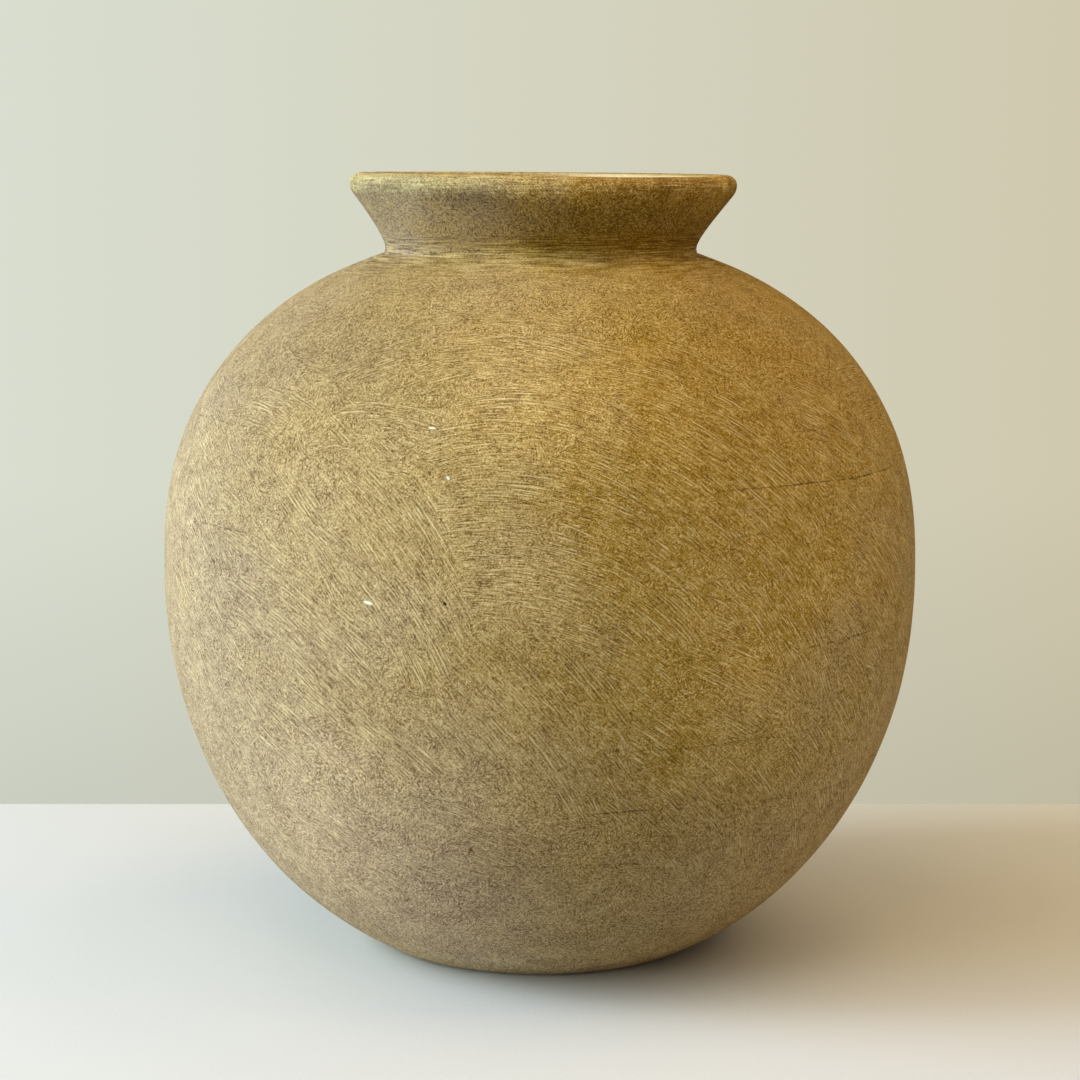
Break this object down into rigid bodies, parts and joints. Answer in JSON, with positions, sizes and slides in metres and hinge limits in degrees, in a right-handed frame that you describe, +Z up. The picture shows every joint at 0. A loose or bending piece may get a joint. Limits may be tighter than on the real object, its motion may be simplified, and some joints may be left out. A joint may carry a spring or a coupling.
{
  "type": "terracotta jar",
  "caption": "Globular terracotta jar with a flat foot, a narrow neck and a short flaring collar, built up in luted rings of clay under brushed slip.",
  "frame": {"origin": "middle of the flat foot, on the surface that the jar stands on", "axes": "+Z up the jar's axis of turning, out of the mouth; -Y is the side that the picture shows, +X is to its right"},
  "size_m": [0.3, 0.3, 0.3075],
  "materials": {
    "foot_clay": "matt unglazed fired clay, worn where it stands",
    "brushed_slip": "matt fired clay under a thin buff slip, brushed in overlapping arcs",
    "collar_slip": "matt fired clay under slip stippled with short strokes",
    "rim_slip": "matt fired clay, rubbed paler along the lip"
  },
  "bodies": {
    "root": {"foot_slab": "foot_clay", "heel_ring": "brushed_slip", "lower_ring_1": "brushed_slip", "lower_ring_2": "brushed_slip", "lower_ring_3": "brushed_slip", "belly_ring": "brushed_slip", "upper_ring_1": "brushed_slip", "upper_ring_2": "brushed_slip", "upper_ring_3": "brushed_slip", "shoulder_ring": "brushed_slip", "neck_collar": "collar_slip", "rim_coil": "rim_slip"}
  },
  "joints": []
}
